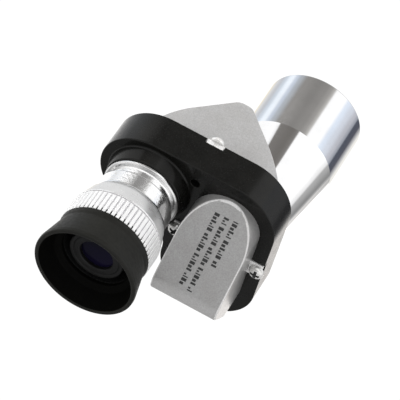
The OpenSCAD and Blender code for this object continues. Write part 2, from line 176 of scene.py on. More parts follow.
def filleted(corners, arc_step=12):
    """Closed outline with each corner (a, b, optional fillet) turned into an arc."""
    out = []
    count = len(corners)
    for i, corner in enumerate(corners):
        fillet = corner[2] if len(corner) > 2 else 0.0
        here = Vector(corner[:2])
        back = Vector(corners[i - 1][:2]) - here
        ahead = Vector(corners[(i + 1) % count][:2]) - here
        if fillet <= 0 or back.length < 1e-6 or ahead.length < 1e-6:
            out.append(here)
            continue
        half = back.angle(ahead) / 2
        if half > math.radians(87):
            out.append(here)
            continue
        run = min(fillet / math.tan(half), 0.48 * min(back.length, ahead.length))
        radius = run * math.tan(half)
        back.normalize()
        ahead.normalize()
        centre = here + (back + ahead).normalized() * (radius / math.sin(half))
        start = here + back * run - centre
        end = here + ahead * run - centre
        turn = math.atan2(start.x * end.y - start.y * end.x, start.dot(end))
        steps = max(2, math.ceil(abs(math.degrees(turn)) / arc_step))
        first = math.atan2(start.y, start.x)
        for k in range(steps + 1):
            angle = first + turn * k / steps
            out.append(centre + radius * Vector((math.cos(angle), math.sin(angle))))
    return out


def supported(outline, gap=0.15):
    """Adds a point near both ends of each long stretch, so that smooth shading stays local."""
    out = []
    for i, here in enumerate(outline):
        ahead = outline[(i + 1) % len(outline)]
        out.append(here)
        length = (ahead - here).length
        if length > 4 * gap:
            out.append(here.lerp(ahead, gap / length))
            out.append(here.lerp(ahead, 1 - gap / length))
    return out


def evenly(count):
    """Angles for revolve() with no teeth."""
    return [(2 * math.pi * i / count, 0.0) for i in range(count)]


def revolve(outline, angles=None, centre=(0.0, 0.0), shape=None, paint=None):
    """Turns a closed (radius, y) outline about an axis along Y. Points at radius 0 share one vertex.
    shape(radius, y, tooth) may move a point; paint(radius, y) picks a material index."""
    angles = angles or evenly(192)
    bm = bmesh.new()
    columns = []
    poles = {}
    for i, (r, y) in enumerate(outline):
        if r < 1e-6:
            poles[i] = bm.verts.new((centre[0], y, centre[1]))
    for angle, tooth in angles:
        column = []
        for i, (r, y) in enumerate(outline):
            if i in poles:
                column.append(poles[i])
                continue
            radius, level = shape(r, y, tooth) if shape else (r, y)
            column.append(bm.verts.new((
                centre[0] + radius * math.sin(angle), level, centre[1] + radius * math.cos(angle))))
        columns.append(column)
    count = len(outline)
    for c in range(len(columns)):
        here, beside = columns[c], columns[(c + 1) % len(columns)]
        for i in range(count):
            j = (i + 1) % count
            corners = []
            for vertex in (here[i], here[j], beside[j], beside[i]):
                if vertex not in corners:
                    corners.append(vertex)
            if len(corners) < 3:
                continue
            face = bm.faces.new(corners)
            if paint:
                r = (outline[i][0] + outline[j][0]) / 2
                y = (outline[i][1] + outline[j][1]) / 2
                face.material_index = paint(r, y)
    bmesh.ops.recalc_face_normals(bm, faces=bm.faces)
    return bm


def skin(bm, loops):
    """Joins loops of equal length by faces, and returns the rows of vertices."""
    rows = [[bm.verts.new(p) for p in loop] for loop in loops]
    for a, b in zip(rows, rows[1:]):
        bridge(bm, a, b)
    return rows


def bridge(bm, a, b):
    for i in range(len(a)):
        j = (i + 1) % len(a)
        bm.faces.new((a[i], a[j], b[j], b[i]))


def loft(loops):
    """Joins loops of equal length into a closed skin. Each loop is a list of 3-D points."""
    bm = bmesh.new()
    rows = skin(bm, loops)
    bm.faces.new(reversed(rows[0]))
    bm.faces.new(rows[-1])
    bmesh.ops.recalc_face_normals(bm, faces=bm.faces)
    return bm


def plain_object(bm, name):
    """Short-lived object for a modifier to work on."""
    mesh = bpy.data.meshes.new(name)
    bm.to_mesh(mesh)
    bm.free()
    made = bpy.data.objects.new(name, mesh)
    bpy.context.scene.collection.objects.link(made)
    return made


def combined(base, cutters, operation="DIFFERENCE"):
    """Exact boolean of a bmesh with several others. Returns a new bmesh."""
    body = plain_object(base, "tmp_base")
    others = [plain_object(c, "tmp_tool") for c in cutters]
    for other in others:
        step = body.modifiers.new("cut", "BOOLEAN")
        step.operation = operation
        step.solver = "EXACT"
        step.object = other
    graph = bpy.context.evaluated_depsgraph_get()
    result = bmesh.new()
    result.from_object(body, graph)
    for made in [body] + others:
        mesh = made.data
        bpy.data.objects.remove(made)
        bpy.data.meshes.remove(mesh)
    bmesh.ops.remove_doubles(result, verts=result.verts, dist=1e-5)
    bmesh.ops.dissolve_degenerate(result, edges=result.edges, dist=1e-5)
    return result


def rounded_box(size, centre, radius, steps=3):
    bm = bmesh.new()
    bmesh.ops.create_cube(bm, size=1.0)
    bmesh.ops.scale(bm, vec=size, verts=bm.verts)
    bmesh.ops.translate(bm, vec=centre, verts=bm.verts)
    if radius > 0:
        bmesh.ops.bevel(bm, geom=bm.edges[:], offset=radius, segments=steps, profile=0.5,
                        affect="EDGES", clamp_overlap=True)
    return bm


def rod(radius, y0, y1, centre=(0.0, 0.0), count=96):
    """Solid cylinder along Y."""
    return revolve([Vector((0, y0)), Vector((radius, y0)), Vector((radius, y1)), Vector((0, y1))],
                   evenly(count), centre)


def turned(bm, degrees, axis):
    matrix = Matrix.Rotation(math.radians(degrees), 3, axis)
    bmesh.ops.rotate(bm, cent=(0, 0, 0), matrix=matrix, verts=bm.verts)
    return bm


def at_screw(bm, side, height=0.0):
    """Moves a mesh from the cover's middle to the screw on one side of it."""
    bmesh.ops.translate(bm, vec=(0, side * SCREW_OFF, height), verts=bm.verts)
    return bm


def screw_hole(radius, low, high, side, count):
    """Cutter along a screw's axis, in cover coordinates."""
    return at_screw(turned(rod(radius, low, high, count=count), 90, "X"), side)


# ---------------------------------------------------------------------------------------------
# Materials
# ---------------------------------------------------------------------------------------------
class Nodes:
    """Short names for building a node tree from nothing."""

    def __init__(self, tree):
        self.tree = tree
        tree.nodes.clear()

    def node(self, kind, inputs=None, **settings):
        made = self.tree.nodes.new(kind)
        for key, value in settings.items():
            setattr(made, key, value)
        for key, value in (inputs or {}).items():
            self.put(made.inputs[key], value)
        return made

    def put(self, socket, value):
        if isinstance(value, bpy.types.NodeSocket):
            self.tree.links.new(value, socket)
        else:
            socket.default_value = value

    def spread(self, value, low, high, from_low=0.3, from_high=0.7):
        """Maps from_low..from_high to low..high. The defaults suit a noise."""
        return self.node("ShaderNodeMapRange", {
            "Value": value, "From Min": from_low, "From Max": from_high,
            "To Min": low, "To Max": high}).outputs[0]

    def math(self, operation, a, b=0.0, clamp=False):
        return self.node("ShaderNodeMath", {0: a, 1: b}, operation=operation,
                         use_clamp=clamp).outputs[0]

    def mix(self, share, a, b):
        """Colour a, turning into b as the share goes from 0 to 1."""
        made = self.node("ShaderNodeMix", data_type="RGBA")
        self.put(made.inputs[0], share)
        self.put(made.inputs[6], a)
        self.put(made.inputs[7], b)
        return made.outputs[2]


class Surface(Nodes):
    """One node material. Its output socket and object coordinates are ready."""

    def __init__(self, name):
        self.material = bpy.data.materials.new(name)
        self.material.use_nodes = True
        super().__init__(self.material.node_tree)
        self.output = self.node("ShaderNodeOutputMaterial").inputs["Surface"]
        self.coords = self.node("ShaderNodeTexCoord").outputs["Object"]

    def noise(self, size_mm, detail=3.0, rough=0.5, stretch=None):
        """Noise with features of about size_mm; stretch multiplies the feature size per axis."""
        where = self.coords
        if stretch:
            where = self.node("ShaderNodeMapping", {
                "Vector": where, "Scale": tuple(1.0 / s for s in stretch)}).outputs[0]
        return self.node("ShaderNodeTexNoise", {
            "Vector": where, "Scale": 1.0 / (size_mm * MM), "Detail": detail, "Roughness": rough,
        }).outputs["Fac"]

    def bump(self, height, depth_mm, normal=None):
        made = self.node("ShaderNodeBump", {"Height": height, "Distance": depth_mm * MM})
        if normal is not None:
            self.put(made.inputs["Normal"], normal)
        return made.outputs[0]

    def edges(self, radius_mm):
        """1 on convex or concave edges, 0 on open faces."""
        soft = self.node("ShaderNodeBevel", {"Radius": radius_mm * MM}, samples=4).outputs[0]
        true = self.node("ShaderNodeNewGeometry").outputs["Normal"]
        dot = self.node("ShaderNodeVectorMath", {0: soft, 1: true}, operation="DOT_PRODUCT")
        away = self.math("SUBTRACT", 1.0, dot.outputs["Value"])
        return self.spread(away, 0.0, 1.0, 0.02, 0.25)

    def off_axis(self):
        """How far a point lies to the right of the eyepiece axis and above it."""
        position = self.node("ShaderNodeSeparateXYZ", {"Vector": self.coords})
        return (self.math("SUBTRACT", position.outputs["X"], ORIGIN.x),
                self.math("SUBTRACT", position.outputs["Z"], ORIGIN.z))

    def principled(self, **values):
        names = {key.replace("_", " "): value for key, value in values.items()}
        made = self.node("ShaderNodeBsdfPrincipled", names)
        self.put(self.output, made.outputs[0])
        return self.material


def grey(value, tint=(1.0, 1.0, 1.0)):
    return (value * tint[0], value * tint[1], value * tint[2], 1.0)


def black_paint():
    """Semi-gloss black paint over a fine cast grain, worn a little lighter along the edges."""
    s = Surface("black_paint")
    cloud = s.noise(4.0)
    grain = s.noise(0.3, 4.0, 0.6)
    base = s.mix(s.spread(cloud, 0, 1), grey(0.003, (1.0, 1.0, 0.85)), grey(0.0055, (1.0, 0.98, 0.85)))
    wear = s.math("MULTIPLY", s.edges(0.22), s.spread(s.noise(0.9), 0.0, 0.3))
    base = s.mix(wear, base, grey(0.04, (1.0, 0.98, 0.92)))
    return s.principled(
        Base_Color=base, Roughness=s.spread(s.noise(1.6), 0.24, 0.32), Specular_IOR_Level=0.14,
        Coat_Weight=0.25, Coat_Roughness=0.1, Normal=s.bump(grain, 0.012))


def silver_paint(name, tone):
    """Cast metal sprayed with fine silver paint: small flakes and a soft cloud."""
    s = Surface(name)
    cloud = s.noise(5.0, 2.0)
    flake = s.noise(0.32, 3.0, 0.75)
    grain = s.noise(0.35, 4.0, 0.65)
    base = s.mix(s.spread(cloud, 0, 1), grey(tone * 0.95, (1.0, 0.985, 0.975)), grey(tone * 1.04))
    base = s.mix(s.spread(flake, 0.0, 0.75), base, grey(tone * 0.6, (1.0, 0.98, 0.97)))
    return s.principled(
        Base_Color=base, Metallic=0.35, Roughness=s.spread(s.noise(0.8), 0.36, 0.46),
        Coat_Weight=0.6, Coat_Roughness=0.16,
        Normal=s.bump(grain, 0.014))


def turned_metal(name, tone, tint, rough_low, rough_high, ring_mm=0.16, ring_depth=0.0012, streak=0.5,
                 metallic=1.0, ripple_depth=0.0):
    """Metal turned about Y: fine rings round the axis, with the reflections drawn out along it.
    ripple_depth adds the uneven, hand-polished surface of the plated parts."""
    s = Surface(name)
    y_only = s.node("ShaderNodeMapping", {"Vector": s.coords, "Scale": (0.02, 1.0, 0.02)}).outputs[0]
    rings = s.node("ShaderNodeTexNoise", {
        "Vector": y_only, "Scale": 1.0 / (ring_mm * MM), "Detail": 4.0, "Roughness": 0.6,
    }).outputs["Fac"]
    cloud = s.noise(6.0, 2.0)
    smear = s.noise(1.4, 3.0, 0.6)
    base = s.mix(s.spread(cloud, 0, 1), grey(tone, tint), grey(tone * 0.93, tint))
    base = s.mix(s.spread(rings, 0.0, 0.10), base, grey(tone * 0.6, tint))
    rough = s.math("ADD", s.spread(smear, rough_low, rough_high), s.spread(rings, 0.0, 0.03))
    tangent = s.node("ShaderNodeTangent", direction_type="RADIAL", axis="Y").outputs[0]
    ripple = s.bump(s.noise(0.7, 3.0, 0.7), ripple_depth)
    return s.principled(
        Base_Color=base, Metallic=metallic, Roughness=rough, Anisotropic=streak,
        Tangent=tangent, Normal=s.bump(rings, ring_depth, ripple))


def knurl_metal():
    """Bright plated ribs; the grooves' ground is darker and violet-grey, partly a dull, dirty ground
    and partly painted shade.
    """
    s = Surface("knurl_chrome")
    x, z = s.off_axis()
    radius = s.math("SQRT", s.math("ADD", s.math("MULTIPLY", x, x), s.math("MULTIPLY", z, z)))
    # Painted shade, with some dirt: the colour darkens towards the bottom of the grooves
    depth = s.spread(radius, 1.0, 0.0, (KNURL_R - 0.33) * MM, (KNURL_R - 0.1) * MM)
    smear = s.noise(1.1, 3.0, 0.6)
    base = s.mix(depth, grey(0.8), grey(0.55, (1.0, 0.98, 1.01)))
    base = s.mix(s.spread(s.noise(0.5, 3.0, 0.7), 0.0, 0.18), base, grey(0.72))
    return s.principled(
        Base_Color=base, Metallic=0.3, Roughness=s.spread(smear, 0.3, 0.42),
        Normal=s.bump(s.noise(0.25, 3.0, 0.6), 0.006))


def rubber(name, tone, rough, shine):
    """Soft moulded rubber with a fine matt grain and a dusty sheen."""
    s = Surface(name)
    cloud = s.noise(3.5, 3.0)
    grain = s.noise(0.18, 4.0, 0.7)
    tint = (1.0, 0.99, 0.75)
    base = s.mix(s.spread(cloud, 0, 1), grey(tone * 0.85, tint), grey(tone * 1.2, tint))
    base = s.mix(s.math("MULTIPLY", s.edges(0.35), 0.2), base, grey(tone * 2.4, tint))
    return s.principled(
        Base_Color=base, Roughness=s.spread(s.noise(0.9), rough - 0.07, rough + 0.07),
        Specular_IOR_Level=shine, Normal=s.bump(grain, 0.012))


def matt_black(name="matt_black", tone=0.004, rough=0.6):
    """Dull black, as on the insides and the anodised rings."""
    s = Surface(name)
    base = s.mix(s.spread(s.noise(2.0), 0, 1), grey(tone * 0.8), grey(tone * 1.3))
    base = s.mix(s.math("MULTIPLY", s.edges(0.2), 0.25), base, grey(tone * 4))
    return s.principled(
        Base_Color=base, Roughness=s.spread(s.noise(0.7), rough - 0.08, rough + 0.08),
        Specular_IOR_Level=0.3, Normal=s.bump(s.noise(0.15, 3.0), 0.004))


def screw_metal():
    """Bright nickel plate, a little warm, with a painted highlight that makes it palest along the
    edges.
    """
    s = Surface("screw_nickel")
    warm = (1.0, 0.99, 0.97)
    base = s.mix(s.spread(s.noise(0.9), 0, 1), grey(0.9, warm), grey(0.76, warm))
    # Painted highlight: the colour turns near white along the edges
    base = s.mix(s.edges(0.25), base, grey(0.98))
    return s.principled(
        Base_Color=base, Metallic=0.55, Roughness=s.spread(s.noise(0.5, 3.0, 0.6), 0.16, 0.3),
        Normal=s.bump(s.noise(0.2, 3.0), 0.004))


def bronze():
    """Bare spring bronze with a drawn grain."""
    s = Surface("clip_bronze")
    base = s.mix(s.spread(s.noise(2.0), 0, 1), (0.62, 0.42, 0.19, 1), (0.5, 0.32, 0.14, 1))
    return s.principled(
        Base_Color=base, Metallic=1.0, Roughness=s.spread(s.noise(0.8), 0.22, 0.36),
        Normal=s.bump(s.noise(0.3, 3.0, 0.5, (1, 1, 6)), 0.003))


def lens_glass(name, through, sheen, slant_sheen, strength):
    """Coated glass: a tinted view through it, under a coating whose colour shifts with the slant."""
    s = Surface(name)
    facing = s.node("ShaderNodeLayerWeight", {"Blend": 0.25}).outputs["Fresnel"]
    slant = s.node("ShaderNodeLayerWeight", {"Blend": 0.5}).outputs["Facing"]
    sheen = s.mix(s.spread(slant, 0.0, 1.0, 0.1, 0.5), sheen, slant_sheen)
    patch = s.spread(s.noise(7.0, 2.0), 0.85, 1.15)
    clear = s.node("ShaderNodeBsdfTransparent", {"Color": through}).outputs[0]
    shine = s.node("ShaderNodeBsdfGlossy", {
        "Color": sheen, "Roughness": s.spread(s.noise(3.0), 0.015, 0.04),
        "Normal": s.bump(s.noise(3.0, 1.0), 0.001)}).outputs[0]
    share = s.math("MULTIPLY", s.math("ADD", facing, strength), patch, clamp=True)
    both = s.node("ShaderNodeMixShader", {0: share, 1: clear, 2: shine}).outputs[0]
    s.put(s.output, both)
    return s.material


def eye_coating():
    """The eye lens: a dark blue depth under a glossy violet coating, its colour painted bluer towards
    +X and downwards as painted light.
    """
    s = Surface("eye_lens_coating")
    x, z = s.off_axis()
    # Painted light: the base colour turns bluer across the lens, towards +X and downwards
    across = s.math("SUBTRACT", s.math("MULTIPLY", x, 0.6), s.math("MULTIPLY", z, 0.8))
    share = s.spread(across, 0.0, 1.0, -3.6 * MM, 3.6 * MM)
    share = s.math("ADD", share, s.spread(s.noise(2.4, 2.0), -0.15, 0.15), clamp=True)
    base = s.mix(share, (0.003, 0.003, 0.006, 1), (0.004, 0.003, 0.012, 1))
    return s.principled(
        Base_Color=base, Roughness=s.spread(s.noise(1.5), 0.04, 0.09), Specular_IOR_Level=0.07,
        Specular_Tint=(0.45, 0.4, 1.0, 1.0), Normal=s.bump(s.noise(4.0, 1.0), 0.002))


def ink():
    """Matt black ink of the ticks."""
    s = Surface("cover_mark_ink")
    base = s.mix(s.spread(s.noise(0.5), 0, 1), grey(0.012), grey(0.03))
    return s.principled(Base_Color=base, Roughness=s.spread(s.noise(0.3), 0.5, 0.65),
                        Normal=s.bump(s.noise(0.1, 2.0), 0.002))


M_BLACK = black_paint()
# Painted shade: the near cover's copy of the silver paint is given a darker tone than the far cover's
M_NEAR_COVER_SHADED = silver_paint("cover_silver_near_painted_shade", 0.42)
# Painted highlight: the covers' rims and ears get brighter copies of the silver paint
M_NEAR_RIM_HIGHLIGHT = silver_paint("cover_rim_near_painted_highlight", 0.76)
M_FAR_RIM_HIGHLIGHT = silver_paint("cover_rim_far_painted_highlight", 0.62)
M_EAR_HIGHLIGHT = silver_paint("cover_ears_painted_highlight", 0.9)
# Painted light: the far cover's copy of the same silver paint is given a lighter tone
M_FAR_COVER_LIT = silver_paint("cover_silver_far_painted_light", 0.5)
M_BARREL = turned_metal("barrel_polished", 0.95, (1.0, 1.0, 1.005), 0.04, 0.075, 0.14, 0.0018, 0.4)
M_CHROME = turned_metal("ring_chrome", 0.97, (1.0, 1.0, 1.0), 0.06, 0.18, 0.3, 0.0015, 0.2, 1.0, 0.035)
M_SKIRT = turned_metal("ring_satin", 0.95, (1.0, 1.0, 1.0), 0.24, 0.34, 0.22, 0.003, 0.3, 0.8, 0.01)
M_KNURL = knurl_metal()
M_RUBBER = rubber("eyecup_rubber", 0.0065, 0.5, 0.26)
# Painted shade: a darker copy of the eyecup rubber for the inside of the cup
M_RUBBER_INSIDE_SHADED = rubber("eyecup_rubber_inside_painted_shade", 0.0012, 0.65, 0.05)
M_MATT = matt_black()
M_TUBE = matt_black("tube_anodised", 0.0055, 0.5)
M_SCREW = screw_metal()
# Painted shade: dark matt grey put into the screws' cross recesses
M_RECESS_SHADE = matt_black("screw_recess_painted_shade", 0.06, 0.5)
M_BRONZE = bronze()
M_EYE = eye_coating()
M_FRONT_LENS = lens_glass("objective_coating", (0.55, 0.68, 0.64, 1), (0.3, 0.75, 0.6, 1),
                          (0.5, 0.35, 0.8, 1), 0.06)
M_GLASS = lens_glass("optical_glass", (0.86, 0.93, 0.93, 1), (0.9, 0.95, 1.0, 1), (1, 1, 1, 1), 0.02)
M_INK = ink()


# ---------------------------------------------------------------------------------------------
# Prism covers
# ---------------------------------------------------------------------------------------------
def stadium_track(length, width, arc_steps, side_steps):
    """Points of a round-ended outline as (centre x, angle), for drawing it at any inset."""
    reach = (length - width) / 2
    track = []
    for k in range(arc_steps + 1):
        track.append((reach, math.radians(-90 + 180 * k / arc_steps)))
    for k in range(1, side_steps):
        track.append((reach - 2 * reach * k / side_steps, math.radians(90)))
    for k in range(arc_steps + 1):
        track.append((-reach, math.radians(90 + 180 * k / arc_steps)))
    for k in range(1, side_steps):
        track.append((-reach + 2 * reach * k / side_steps, math.radians(270)))
    return track


def roof_height(x, length, height, lip, fillet):
    """Height of a 45 degree roof with a flat, rounded ridge, at distance x from its middle."""
    flat = length / 2 - (height - lip)
    run = fillet * math.tan(math.radians(22.5))
    x = abs(x)
    if x <= flat - run:
        return height
    if x >= flat + run * math.cos(math.radians(45)):
        return height - (x - flat)
    return height - fillet + math.sqrt(max(0.0, fillet ** 2 - (x - flat + run) ** 2))


def cover_loops(length, width, height, lip, ridge, edge):
    """Loops from the open bottom up the wall, over the rounded edge and in to the middle."""
    track = stadium_track(length, width, 40, 60)
    wall_steps, edge_steps, roof_steps = 6, 7, 14
    insets = [0.0] * (wall_steps + 1)
    insets += [edge * (1 - math.cos(math.radians(90 * k / edge_steps)))
               for k in range(1, edge_steps + 1)]
    insets += [edge + (width / 2 - edge) * k / roof_steps for k in range(1, roof_steps + 1)]
    loops = []
    for level, inset in enumerate(insets):
        loop = []
        radius = width / 2 - inset
        for centre_x, angle in track:
            x = centre_x + radius * math.cos(angle)
            y = radius * math.sin(angle)
            drop = 0.0
            if inset < edge:
                drop = edge - math.sqrt(max(0.0, edge ** 2 - (edge - inset) ** 2))
            top = roof_height(x, length, height, lip, ridge) - drop
            if level <= wall_steps:
                top *= level / wall_steps
            loop.append((x, y, top))
        loops.append(loop)
    return loops


def cover_mesh():
    """A hollow cover lying on its open face: x along it, y across it, z up to the ridge."""
    outer = cover_loops(COVER_L, COVER_W, COVER_H, COVER_LIP, RIDGE_R, COVER_EDGE)
    slope_drop = COVER_WALL * math.sqrt(2) - COVER_WALL
    inner = cover_loops(COVER_L - 2 * COVER_WALL, COVER_W - 2 * COVER_WALL, COVER_H - COVER_WALL,
                        COVER_LIP - slope_drop, RIDGE_R - COVER_WALL, 0.25)
    bm = bmesh.new()
    bottoms = [skin(bm, loops)[0] for loops in (outer, inner)]
    bridge(bm, *bottoms)
    bmesh.ops.remove_doubles(bm, verts=bm.verts, dist=1e-4)
    bmesh.ops.dissolve_degenerate(bm, edges=bm.edges, dist=1e-5)
    bmesh.ops.recalc_face_normals(bm, faces=bm.faces)
    root = COVER_W / 2 - 0.55
    riser_top = 1.2
    ears = []
    for side in (-1, 1):
        ears.append(rounded_box((EAR_W, EAR_TIP - root, EAR_T + EAR_PROUD),
                                (0, side * (EAR_TIP + root) / 2, (EAR_PROUD - EAR_T) / 2), 0.18))
        ears.append(rounded_box((EAR_W, 0.5, EAR_T + riser_top),
                                (0, side * (COVER_W / 2 - 0.3), (riser_top - EAR_T) / 2), 0.1))
    joined = combined(bm, ears, "UNION")
    made = combined(joined, [screw_hole(SCREW_HOLE_R, -3, 3, side, 40) for side in (-1, 1)])
    # Painted highlight: the rounded rim of the roof, material 1, and the ears, 2, take brighter copies
    # of the silver paint.
    for face in made.faces:
        middle = face.calc_center_median()
        on_roof = abs(face.normal.y) < 0.12 and abs(middle.x) < COVER_L / 2 - 0.6
        if face.normal.z > 0.12 and middle.z > 0.55 and not on_roof:
            face.material_index = 1
        elif middle.z < EAR_PROUD + 0.01 and abs(middle.y) > COVER_W / 2:
            face.material_index = 2
    return made


# Cover coordinates to plate coordinates, for the cover on each face
ON_FAR = Matrix(((1, 0, 0, STEP / 2), (0, 0, 1, PLATE_T), (0, -1, 0, 0), (0, 0, 0, 1)))
ON_NEAR = Matrix(((0, -1, 0, STEP), (0, 0, -1, 0), (1, 0, 0, -STEP / 2), (0, 0, 0, 1)))

for name, place, paints, node in (
        ("cover_far", ON_FAR, (M_FAR_COVER_LIT, M_FAR_RIM_HIGHLIGHT, M_EAR_HIGHLIGHT), "objective_side_cover"),
        ("cover_near", ON_NEAR, (M_NEAR_COVER_SHADED, M_NEAR_RIM_HIGHLIGHT, M_EAR_HIGHLIGHT), "eyepiece_side_cover")):
    shell = cover_mesh()
    shell.transform(place)
    finish_mesh(shell, name, paints, "body", [node], sharp=40)

# Plain ink ticks on the near cover's upper slope: three rows of short bars, not lettering.
# Each row: place across the cover, start and end along it.
MARK_ROWS = ((-2.9, 16.4, 7.9), (-0.5, 16.3, 2.7), (1.9, 16.3, 2.9))
MARK_TILT = Matrix.Rotation(math.radians(45), 4, "Y")
MARK_HEIGHTS = (1.3, 1.3, 0.95, 1.3, 0.6)
MARK_GAP = 0.26
WORD_GAP = 0.5
SLOPE = math.cos(math.radians(45))
RIDGE_FLAT = COVER_L / 2 - (COVER_H - COVER_LIP)


def marks_mesh():
    """All ticks as one mesh, in plate coordinates."""
    marks = bmesh.new()
    for row, (across, start, end) in enumerate(MARK_ROWS):
        along = start
        number = 3 * row
        while along > end:
            # Tall ticks and low ones take turns, with uneven widths and gaps.
            width = 0.3 + 0.11 * (number * 4 % 5)
            height = MARK_HEIGHTS[number % len(MARK_HEIGHTS)]
            block = rounded_box((width, height, 0.05), (0, 0, 0), 0.015, 1)
            middle = along - width / 2 * SLOPE
            seat = (middle, across + (MARK_HEIGHTS[0] - height) / 2, COVER_H - (middle - RIDGE_FLAT))
            block.transform(Matrix.Translation(seat) @ MARK_TILT)
            tick = bpy.data.meshes.new("tmp_mark")
            block.to_mesh(tick)
            block.free()
            marks.from_mesh(tick)
            bpy.data.meshes.remove(tick)
            along -= (width + MARK_GAP + (WORD_GAP if number % 6 == 5 else 0.0)) * SLOPE
            number += 1
    marks.transform(ON_NEAR)
    return marks


finish_mesh(marks_mesh(), "cover_near_dashes", [M_INK], "body")


# ---------------------------------------------------------------------------------------------
# Prism plate
# ---------------------------------------------------------------------------------------------
def plate_track():
    """Outline of the L as (point, outward normal), all corners being arcs."""
    inner = (ARM_EDGE - CORNER_R, -PLATE_R - CORNER_R)
    arcs = (
        ((-END_EXTRA, 0.0), PLATE_R, 270, 90, 1),
        ((STEP, 0.0), PLATE_R, 90, 0, 1),
        ((STEP, -STEP), PLATE_R, 0, -90, 1),
        ((STEP - ARM_EXTRA, -STEP), PLATE_R, -90, -180, 1),
        (inner, CORNER_R, 0, 90, -1),
    )
    track = []
    for centre, radius, start, end, sign in arcs:
        steps = max(6, int(abs(end - start) / (3 if radius > 5 else 9)))
        for k in range(steps + 1):
            angle = math.radians(start + (end - start) * k / steps)
            out = Vector((math.cos(angle), math.sin(angle)))
            track.append((Vector(centre) + radius * out, out * sign))
    return track


def plate_mesh():
    """The L with its boss, cut by the bores and by each cover's seat, notches and screw holes."""
    track = plate_track()

    def rounding(edge):
        """Steps (inset, depth) round an edge, from the face to the side."""
        angles = [math.radians(90 * k / 5) for k in range(6)]
        return [(edge * (1 - math.sin(a)), edge * (1 - math.cos(a))) for a in angles]

    levels = rounding(0.32) + [(inset, PLATE_T - y) for inset, y in reversed(rounding(0.12))]
    base = loft([[(p.x - n.x * inset, y, p.y - n.y * inset) for p, n in track] for inset, y in levels])
    boss = revolve(filleted([
        (0, -BOSS_H), (9.9, -BOSS_H, 0.45), (10.72, 0.0, 0.7), (11.6, 0.03), (11.6, 0.6), (0, 0.6)]),
        evenly(160))
    solid = combined(base, [boss], "UNION")
    # The sleeve's socket, the light hole, the barrel's seat and the small blind hole
    above = PLATE_T + 1
    cutters = [
        revolve(filleted([(0, -6), (8.9, -6), (8.9, -BOSS_H + 0.1), (8.42, -BOSS_H + 0.6), (8.42, 2.4),
                          (6.3, 2.4), (6.3, 12), (0, 12)]), evenly(128)),
        rod(6.9, -1, above, (STEP, 0)),
        revolve(filleted([(0, -1), (LIGHT_BORE, -1), (LIGHT_BORE, PLATE_T - 3), (7.52, PLATE_T - 3),
                          (7.52, above), (0, above)]), evenly(128), (STEP, -STEP)),
        revolve(filleted([(0, -1), (1.3, -1), (1.3, 0), (1.2, 0.1), (1.2, 3), (0, 3.6)]),
                evenly(48), (10.7, 7.2)),
    ]
    seat_r = SEAT_W / 2
    seat_track = stadium_track(SEAT_L, SEAT_W, 32, 4)
    notch_start, notch_end = COVER_W / 2 - 0.7, 16
    for place in (ON_FAR, ON_NEAR):
        seat = loft([[(x + seat_r * math.cos(a), seat_r * math.sin(a), z) for x, a in seat_track]
                     for z in (-0.4, 0.5)])
        seat.transform(place)
        cutters.append(seat)
        for side in (-1, 1):
            notch = rounded_box((EAR_W + 0.3, notch_end - notch_start, 4),
                                (0, side * (notch_end + notch_start) / 2, 2 - EAR_T - 0.12), 0.25)
            shank = screw_hole(0.97, -4.1, 1, side, 32)
            foot = rounded_box((3.1, 0.4, 1.4), (0, side * 7.33, -0.5), 0)  # end of the prism's clip
            for cutter in (notch, shank, foot):
                cutter.transform(place)
                cutters.append(cutter)
    return combined(solid, cutters)


finish_mesh(
    plate_mesh(), "prism_plate_body", [M_BLACK], "body", ["prism_plate"], sharp=30)


# ---------------------------------------------------------------------------------------------
# Screws
# ---------------------------------------------------------------------------------------------
def screw_mesh():
    """Pan head with a tapered cross recess, underside at z = 0. The recess takes material 1, a dark
    matt grey painted as shade.
    """
    head = revolve(filleted([
        (0, HEAD_H), (0.9, 1.56, 2.0), (1.6, 1.22, 0.9), (HEAD_R, 0.62, 0.3), (HEAD_R, 0.03, 0.06),
        (SHANK_R, 0.0), (SHANK_R, SHANK_END + 0.3, 0.1), (0.6, SHANK_END), (0, SHANK_END)]), evenly(72))

    def cross(reach, half, z):
        """Outline of a cross at one depth: arms out to reach, half their width being half."""
        points = []
        for quarter in range(4):
            turn = math.radians(90 * quarter)
            for x, y in ((reach, -half), (reach, half), (half, half)):
                points.append((x * math.cos(turn) - y * math.sin(turn), z,
                               x * math.sin(turn) + y * math.cos(turn)))
        return points

    recess = loft([cross(0.5, 0.2, 0.5), cross(1.2, 0.34, 1.35), cross(1.4, 0.42, 1.9)])
    made = combined(head, [recess])
    for face in made.faces:
        middle = face.calc_center_median()
        reach = math.hypot(middle.x, middle.z)
        if reach < 1.4 and middle.y > 0.3 and (face.normal.y < 0.8 or middle.y < 1.0):
            face.material_index = 1
    return turned(made, 90, "X")


number = 0
for place in (ON_FAR, ON_NEAR):
    for side in (-1, 1):
        number += 1
        screw = at_screw(turned(screw_mesh(), 32 + 32 * side, "Z"), side, EAR_PROUD)
        screw.transform(place)
        finish_mesh(screw, "cover_screw_%d" % number, [M_SCREW, M_RECESS_SHADE], "body", ["cover_screws"],
                    40)


# ---------------------------------------------------------------------------------------------
# Objective barrel
# ---------------------------------------------------------------------------------------------
def barrel_paint(r, y):
    """Polished outside and in the front recess, matt black inside."""
    outside = r > 12.1 and y > CYLINDER_Y or (y < CYLINDER_Y + 0.5 and r > 7.2 + (y - PLATE_T) * 0.13)
    return 0 if outside or y > FRONT_Y - FRONT_DEPTH - 0.05 else 1


